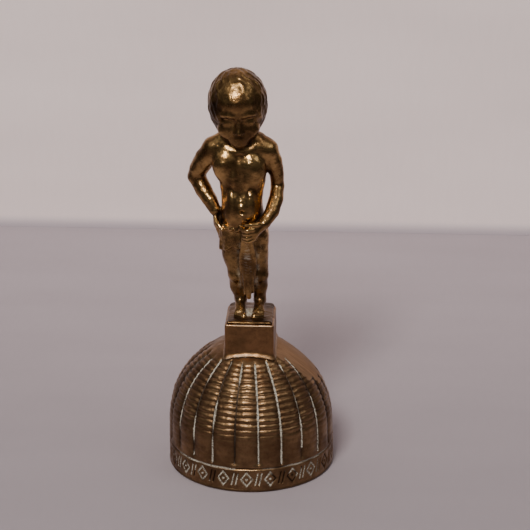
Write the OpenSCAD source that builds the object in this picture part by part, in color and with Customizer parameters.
// Souvenir hand bell: a standing child as the handle, on a plinth, on a ribbed dome bell
// with a clapper that hangs from an eye screw through the crown.
// Millimetres. +Z is up, the origin is the centre of the rim plane, and the figure faces -Y.

/* [Bell] */
// Outer diameter of the bell at its widest
bell_d = 46; // [38:0.1:56]
// Height of the straight skirt, up to the centre of the dome
skirt_h = 13.7; // [11:0.1:18]
// Wall of the casting
wall = 2.4; // [2:0.1:3.2]
// Thickness of the crown at the boss that the hanger is clamped to
crown_t = 3.4; // [2.8:0.1:5]
// Diameter of the flat boss inside the crown
boss_d = 10; // [8.4:0.1:12]
// Rounding of the rim's outer edge
rim_round = 0.9; // [0.3:0.1:1.2]

/* [Relief] */
// Height of the plain band above the rim
band_h = 7; // [5:0.1:9]
// Depth of the line cut above the band
line_deep = 0.35; // [0.2:0.05:0.6]
// Number of upright grooves round the dome, an even number
groove_n = 22; // [16:2:28]
// Width of an upright groove
groove_w = 0.6; // [0.4:0.05:0.9]
// Depth of an upright groove
groove_deep = 0.4; // [0.2:0.05:0.6]
// How far from the axis the upright grooves start
groove_start = 10.4; // [8:0.1:13]
// How far above the cut line the upright grooves end
groove_gap = 1; // [0.6:0.1:3]
// Depth of the filed flat on the shoulder
flat_deep = 1.2; // [0.6:0.1:1.4]
// Bearing of the filed flat, turned from the front towards +X
flat_bearing = 99; // [60:1:120]
// Height of the filed flat's centre, as an angle above the dome's centre
flat_rise = 48; // [40:1:55]

/* [Plinth] */
// Height of the plinth above the dome's crown
plinth_h = 7.1; // [6:0.1:10]
// Width of the plinth, side to side
plinth_w = 13.5; // [11.2:0.1:17]
// Distance from the axis to the plinth's front face
plinth_front = 9.4; // [7.8:0.1:11.3]
// Distance from the axis to the plinth's back face
plinth_back = 7.2; // [6:0.1:9]
// Rounding of the two front corners
front_round = 0.8; // [0.4:0.1:1.6]
// Rounding of the two back corners
back_round = 2.6; // [1:0.1:3.2]
// Flare of the foot where the plinth meets the dome
foot_flare = 0.6; // [0.3:0.1:1.2]
// Height of the flare
foot_h = 1.4; // [0.8:0.1:2]

/* [Figure] */
// Height of the figure, from the plinth to the top of the head
figure_h = 69.8; // [58:0.1:84]
// Thickness of the plate that the feet are cast on
sole_t = 0.7; // [0.4:0.1:1.2]
// Gap between the sole plate's edge and the plinth's edge
sole_inset = 0.5; // [0.2:0.1:1]
// Diameter of the tenon under the sole plate
tenon_d = 4.8; // [4:0.1:6]
// Length of the tenon
tenon_l = 2.4; // [1.8:0.1:2.9]

/* [Hanger] */
// Diameter of the eye screw's thread
screw_d = 3; // [2.5:0.1:3.6]
// How far the screw goes into the plinth
screw_grip = 3.6; // [3:0.1:4]
// Diameter of the screw's collar
collar_d = 5.6; // [4.6:0.1:6.8]
// Thickness of the collar
collar_t = 0.8; // [0.6:0.1:1.2]
// Outer diameter of the washer
washer_d = 7; // [6.2:0.1:8.4]
// Thickness of the washer
washer_t = 0.5; // [0.4:0.05:0.8]
// Wire of the screw's eye
eye_wire = 1.4; // [1.1:0.05:1.7]
// Middle diameter of the screw's eye
eye_d = 4; // [3.8:0.1:5]
// Wire of the hanging link
link_wire = 0.9; // [0.7:0.05:1.1]
// Middle diameter of the hanging link
link_d = 4.4; // [4.2:0.1:5.4]

/* [Clapper] */
// Diameter of the clapper's ball
ball_d = 10; // [8:0.1:12]
// Height of the ball's underside above the rim plane
ball_lift = 1.4; // [1:0.1:3]
// Wire of the clapper's shank
shank_wire = 1.1; // [0.9:0.05:1.3]
// Middle diameter of the shank's eye
shank_eye_d = 3.2; // [3.1:0.05:3.8]

/* [Fits] */
// Clearance round the screw in the washer and the crown
screw_clear = 0.15; // [0.05:0.05:0.3]
// Clearance round the tenon in its socket
tenon_clear = 0.05; // [0.02:0.01:0.1]
// Clearance between two wires that hang in each other
wire_clear = 0.05; // [0.03:0.01:0.1]

/* [Hidden] */
$fn = 64;

bell_r = bell_d / 2;
crown_z = skirt_h + bell_r;
boss_z = crown_z - crown_t;
cut = 1; // how far a cutting shape runs past the surface that it cuts

// Plinth and figure, from the crown up
plinth_z = crown_z + plinth_h;
screw_top = crown_z + screw_grip;
socket_deep = tenon_l + 0.1;
figure_k = figure_h / 69.8; // the figure's points are set out for a height of 69.8

// Hanger, from the crown's boss down
collar_top = boss_z - washer_t;
collar_z = collar_top - collar_t;
eye_r = eye_d / 2;
eye_z = collar_z - eye_r - eye_wire * 0.3;
link_r = link_d / 2;
link_top = eye_z - eye_r + eye_wire / 2 + wire_clear + link_wire / 2;
link_z = link_top - link_r;
pivot_z = link_z - link_r;
shank_eye_r = shank_eye_d / 2;
shank_eye_z = pivot_z + link_wire / 2 + wire_clear + shank_wire / 2 - shank_eye_r;
ball_r = ball_d / 2;
ball_z = ball_lift + ball_r;
ball_bore = ball_r * 0.6; // how far past the ball's centre the shank is pressed

brass_bell = [0.50, 0.38, 0.24];
brass_plinth = [0.45, 0.32, 0.19];
brass_figure = [0.60, 0.45, 0.25];
brass_inner = [0.72, 0.58, 0.33];

// ---------- bell ----------

// Half outline of the bell for a given radius, with the rim's edge rounded by edge
module bell_outline(r, edge) {
    intersection() {
        translate([0, skirt_h]) circle(r, $fn = 128);
        translate([0, skirt_h]) square([r + cut, r + cut]);
    }
    square([r - edge, skirt_h]);
    translate([0, edge]) square([r, skirt_h - edge]);
    if (edge > 0) translate([r - edge, edge]) circle(edge);
}

// The hollow of the bell, open through the rim
module bell_hollow() {
    r = bell_r - wall;
    rotate_extrude($fn = 128) {
        bell_outline(r, 0);
        translate([0, -cut]) square([r, cut]);
    }
}

// Upright grooves in the dome: each plate cuts two that lie opposite each other
module upright_grooves() {
    reach = bell_r + cut;
    pitch = 360 / groove_n;
    foot = band_h + groove_gap;
    difference() {
        for (i = [0 : groove_n / 2 - 1])
            rotate([90, 0, 90 + (i + 0.5) * pitch])
                translate([0, 0, -groove_w / 2])
                    linear_extrude(groove_w) difference() {
                        translate([-reach, foot]) square([2 * reach, reach + skirt_h - foot]);
                        translate([0, skirt_h]) circle(bell_r - groove_deep, $fn = 128);
                        translate([groove_deep - bell_r, 0])
                            square([2 * (bell_r - groove_deep), skirt_h]);
                    }
        cylinder(r = groove_start, h = crown_z + 2 * cut);
    }
}

// The line cut round the bell above the band
module band_line() {
    rotate_extrude($fn = 128)
        translate([bell_r, band_h]) rotate(45) square(line_deep * sqrt(2), center = true);
}

// What the file took off the shoulder: outside a ball that is much flatter than the dome
module filed_flat() {
    flatter = bell_r + 17; // radius of the filed surface
    reach = bell_r * 0.62; // wide enough to run past the edge of the flat
    translate([0, 0, skirt_h]) rotate([0, 0, flat_bearing - 90]) rotate([0, 90 - flat_rise, 0])
        rotate_extrude($fn = 128) difference() {
            translate([0, bell_r - wall - cut]) square([reach, wall + 2 * cut]);
            translate([0, bell_r - flat_deep - flatter]) circle(flatter, $fn = 180);
        }
}

module bell_shell() {
    color(brass_bell) difference() {
        union() {
            difference() {
                rotate_extrude($fn = 128) bell_outline(bell_r, rim_round);
                bell_hollow();
            }
            translate([0, 0, boss_z]) cylinder(d = boss_d, h = crown_t - wall / 2);
        }
        upright_grooves();
        band_line();
        filed_flat();
        cylinder(r = screw_d / 2 + screw_clear, h = crown_z + cut);
    }
}

// ---------- plinth ----------

// Plan of the plinth, grown outwards by grow
module plinth_plan(grow) {
    w = plinth_w / 2 + grow;
    front = plinth_front + grow;
    back = plinth_back + grow;
    fr = front_round + grow / 2;
    br = back_round + grow / 2;
    for (side = [-1, 1]) {
        translate([side * (w - fr), fr - front]) circle(fr);
        translate([side * (w - br), back - br]) circle(br);
    }
    translate([fr - w, -front]) square([2 * (w - fr), front]);
    translate([-w, fr - front]) square([2 * w, front + back - fr - br]);
    translate([br - w, 0]) square([2 * (w - br), back]);
}

// Height on the dome at a distance from the axis
function dome_z(d) = skirt_h + sqrt(bell_r * bell_r - d * d);

// The flared foot, from the dome up
module plinth_foot() {
    low = dome_z(plinth_front + foot_flare) - cut;
    high = dome_z(plinth_front) + foot_h;
    hull() {
        translate([0, 0, low]) linear_extrude(cut) plinth_plan(foot_flare);
        translate([0, 0, high - 0.1]) linear_extrude(0.1) plinth_plan(0);
    }
}

module plinth() {
    low = dome_z(plinth_front + plinth_w / 2) - cut;
    color(brass_plinth) difference() {
        union() {
            translate([0, 0, low]) linear_extrude(plinth_z - low) plinth_plan(0);
            plinth_foot();
        }
        translate([0, 0, skirt_h]) sphere(bell_r, $fn = 128);
        translate([0, 0, crown_z - cut]) cylinder(d = screw_d, h = screw_grip + cut + 0.1);
        translate([0, 0, plinth_z - socket_deep])
            cylinder(r = tenon_d / 2 + tenon_clear, h = socket_deep + cut);
    }
}

// ---------- figure ----------

// A tapering limb between two balls, p and q, each [x, y, z, radius]
module limb(p, q) {
    hull() {
        translate([p.x, p.y, p.z]) sphere(p[3], $fn = 18);
        translate([q.x, q.y, q.z]) sphere(q[3], $fn = 18);
    }
}

// A ball squashed to three half widths
module egg(at, half, facets = 24) {
    translate(at) scale(half) sphere(1, $fn = facets);
}

// One leg: hip to knee, knee to ankle, and the foot from heel to toes
module leg(hip, knee, ankle) {
    limb(hip, knee);
    limb(knee, ankle);
    limb([ankle.x, 1.6, 2.2, 1.6], [ankle.x * 0.95, -5.2, 1.7, 1.5]);
}

// One arm: shoulder to elbow, elbow to wrist, and the hand
module arm(shoulder, elbow, wrist, hand) {
    limb(shoulder, elbow);
    limb(elbow, wrist);
    limb(wrist, hand);
}

module torso() {
    hull() {
        egg([-2.9, 0.2, 41.5], [6.8, 4.8, 5.5]);
        egg([-2.4, -0.9, 31.5], [5.6, 5.1, 5.0]);
    }
    hull() {
        egg([-2.4, -0.9, 31.5], [5.5, 5.0, 4.0]);
        egg([-1.9, 0.4, 24], [6.4, 5.0, 4.6]);
    }
    hull() {
        egg([-8.8, 0.9, 45.8], [3.0, 3.0, 3.0], 18);
        egg([4.2, 0.9, 45.3], [3.0, 3.0, 3.0], 18);
        egg([-2.7, 0.3, 42], [5.8, 4.4, 4.0]);
        egg([-2.8, 0.8, 48], [3.9, 3.6, 2.5]);
    }
    limb([-2.8, 0.6, 46, 4.2], [-3.0, 0.4, 52, 4.0]);
}

module head() {
    hull() {
        egg([-3.4, 0.8, 60.6], [8.2, 8.4, 9.2], 30);
        egg([-3.1, -3.0, 53.4], [5.6, 4.8, 4.6]);
    }
    for (side = [-1, 1]) egg([side * 7.4 - 3.3, 0.4, 56.6], [1.1, 1.6, 2.2], 14);
    egg([-3.1, -8.1, 56.6], [0.9, 1.2, 1.1], 12);
}

// A short cloth rolled at the hips, gathered in front and hanging between the thighs
module loincloth() {
    hull() {
        translate([-1.9, 0.3, 26]) scale([7.1, 5.6, 1]) cylinder(r = 1, h = 1.2, $fn = 30);
        translate([-1.9, 0.3, 20]) scale([6.9, 5.3, 1]) cylinder(r = 1, h = 1, $fn = 30);
    }
    hull() {
        limb([-1.9, -5.0, 24.5, 1.7], [1.7, -5.0, 24.5, 1.7]);
        limb([-1.2, -2.6, 12, 1.1], [0.4, -2.6, 12, 1.1]);
    }
}

module sole_plate() {
    translate([0, 0, plinth_z]) linear_extrude(sole_t) plinth_plan(-sole_inset);
    translate([0, 0, plinth_z - tenon_l]) cylinder(d = tenon_d, h = tenon_l + sole_t / 2, $fn = 48);
}

module figure() {
    color(brass_figure) {
        sole_plate();
        translate([0, 0, plinth_z]) scale(figure_k) {
            torso();
            head();
            loincloth();
            leg([-4.4, 0.2, 22.5, 4.0], [-3.9, -0.2, 11.5, 2.4], [-3.2, 1.0, 4.2, 1.9]);
            leg([0.9, 0.2, 22.5, 3.9], [2.4, -0.2, 11.5, 2.2], [2.2, 1.0, 4.2, 1.8]);
            arm([-9.4, 0.9, 46.0, 3.2], [-15.1, 3.0, 38.0, 2.5],
                [-10.6, 1.2, 29.3, 1.9], [-8.4, 0.4, 24.8, 1.9]);
            arm([5.0, 0.9, 45.4, 3.1], [6.6, 2.4, 36.8, 2.4],
                [3.8, -5.4, 27.4, 1.8], [0.4, -7.2, 25.4, 2.2]);
        }
    }
}

// ---------- hanger and clapper ----------

// A ring of wire in the XZ plane, centred at height z
module wire_ring(z, r, wire) {
    translate([0, 0, z]) rotate([90, 0, 0]) rotate_extrude() translate([r, 0]) circle(d = wire, $fn = 32);
}

module eye_screw() {
    color(brass_inner) {
        wire_ring(eye_z, eye_r, eye_wire);
        translate([0, 0, eye_z + eye_r]) cylinder(d = eye_wire, h = collar_z - eye_z - eye_r + collar_t / 2);
        translate([0, 0, collar_z]) cylinder(d = collar_d, h = collar_t);
        translate([0, 0, collar_z]) cylinder(d = screw_d, h = screw_top - collar_z);
    }
}

module crown_washer() {
    color(brass_inner) translate([0, 0, collar_top]) difference() {
        cylinder(d = washer_d, h = washer_t);
        translate([0, 0, -cut]) cylinder(r = screw_d / 2 + screw_clear, h = washer_t + 2 * cut);
    }
}

module clapper_link() {
    color(brass_inner) rotate([0, 0, 90]) wire_ring(link_z, link_r, link_wire);
}

module clapper_shank() {
    foot = ball_z - ball_bore;
    color(brass_inner) {
        wire_ring(shank_eye_z, shank_eye_r, shank_wire);
        translate([0, 0, foot]) cylinder(d = shank_wire, h = shank_eye_z - shank_eye_r - foot);
    }
}

module clapper_ball() {
    color(brass_inner) difference() {
        translate([0, 0, ball_z]) sphere(ball_r);
        translate([0, 0, ball_z - ball_bore]) cylinder(d = shank_wire, h = ball_bore + ball_r + cut);
    }
}

bell_shell();
plinth();
figure();
eye_screw();
crown_washer();
clapper_link();
clapper_shank();
clapper_ball();
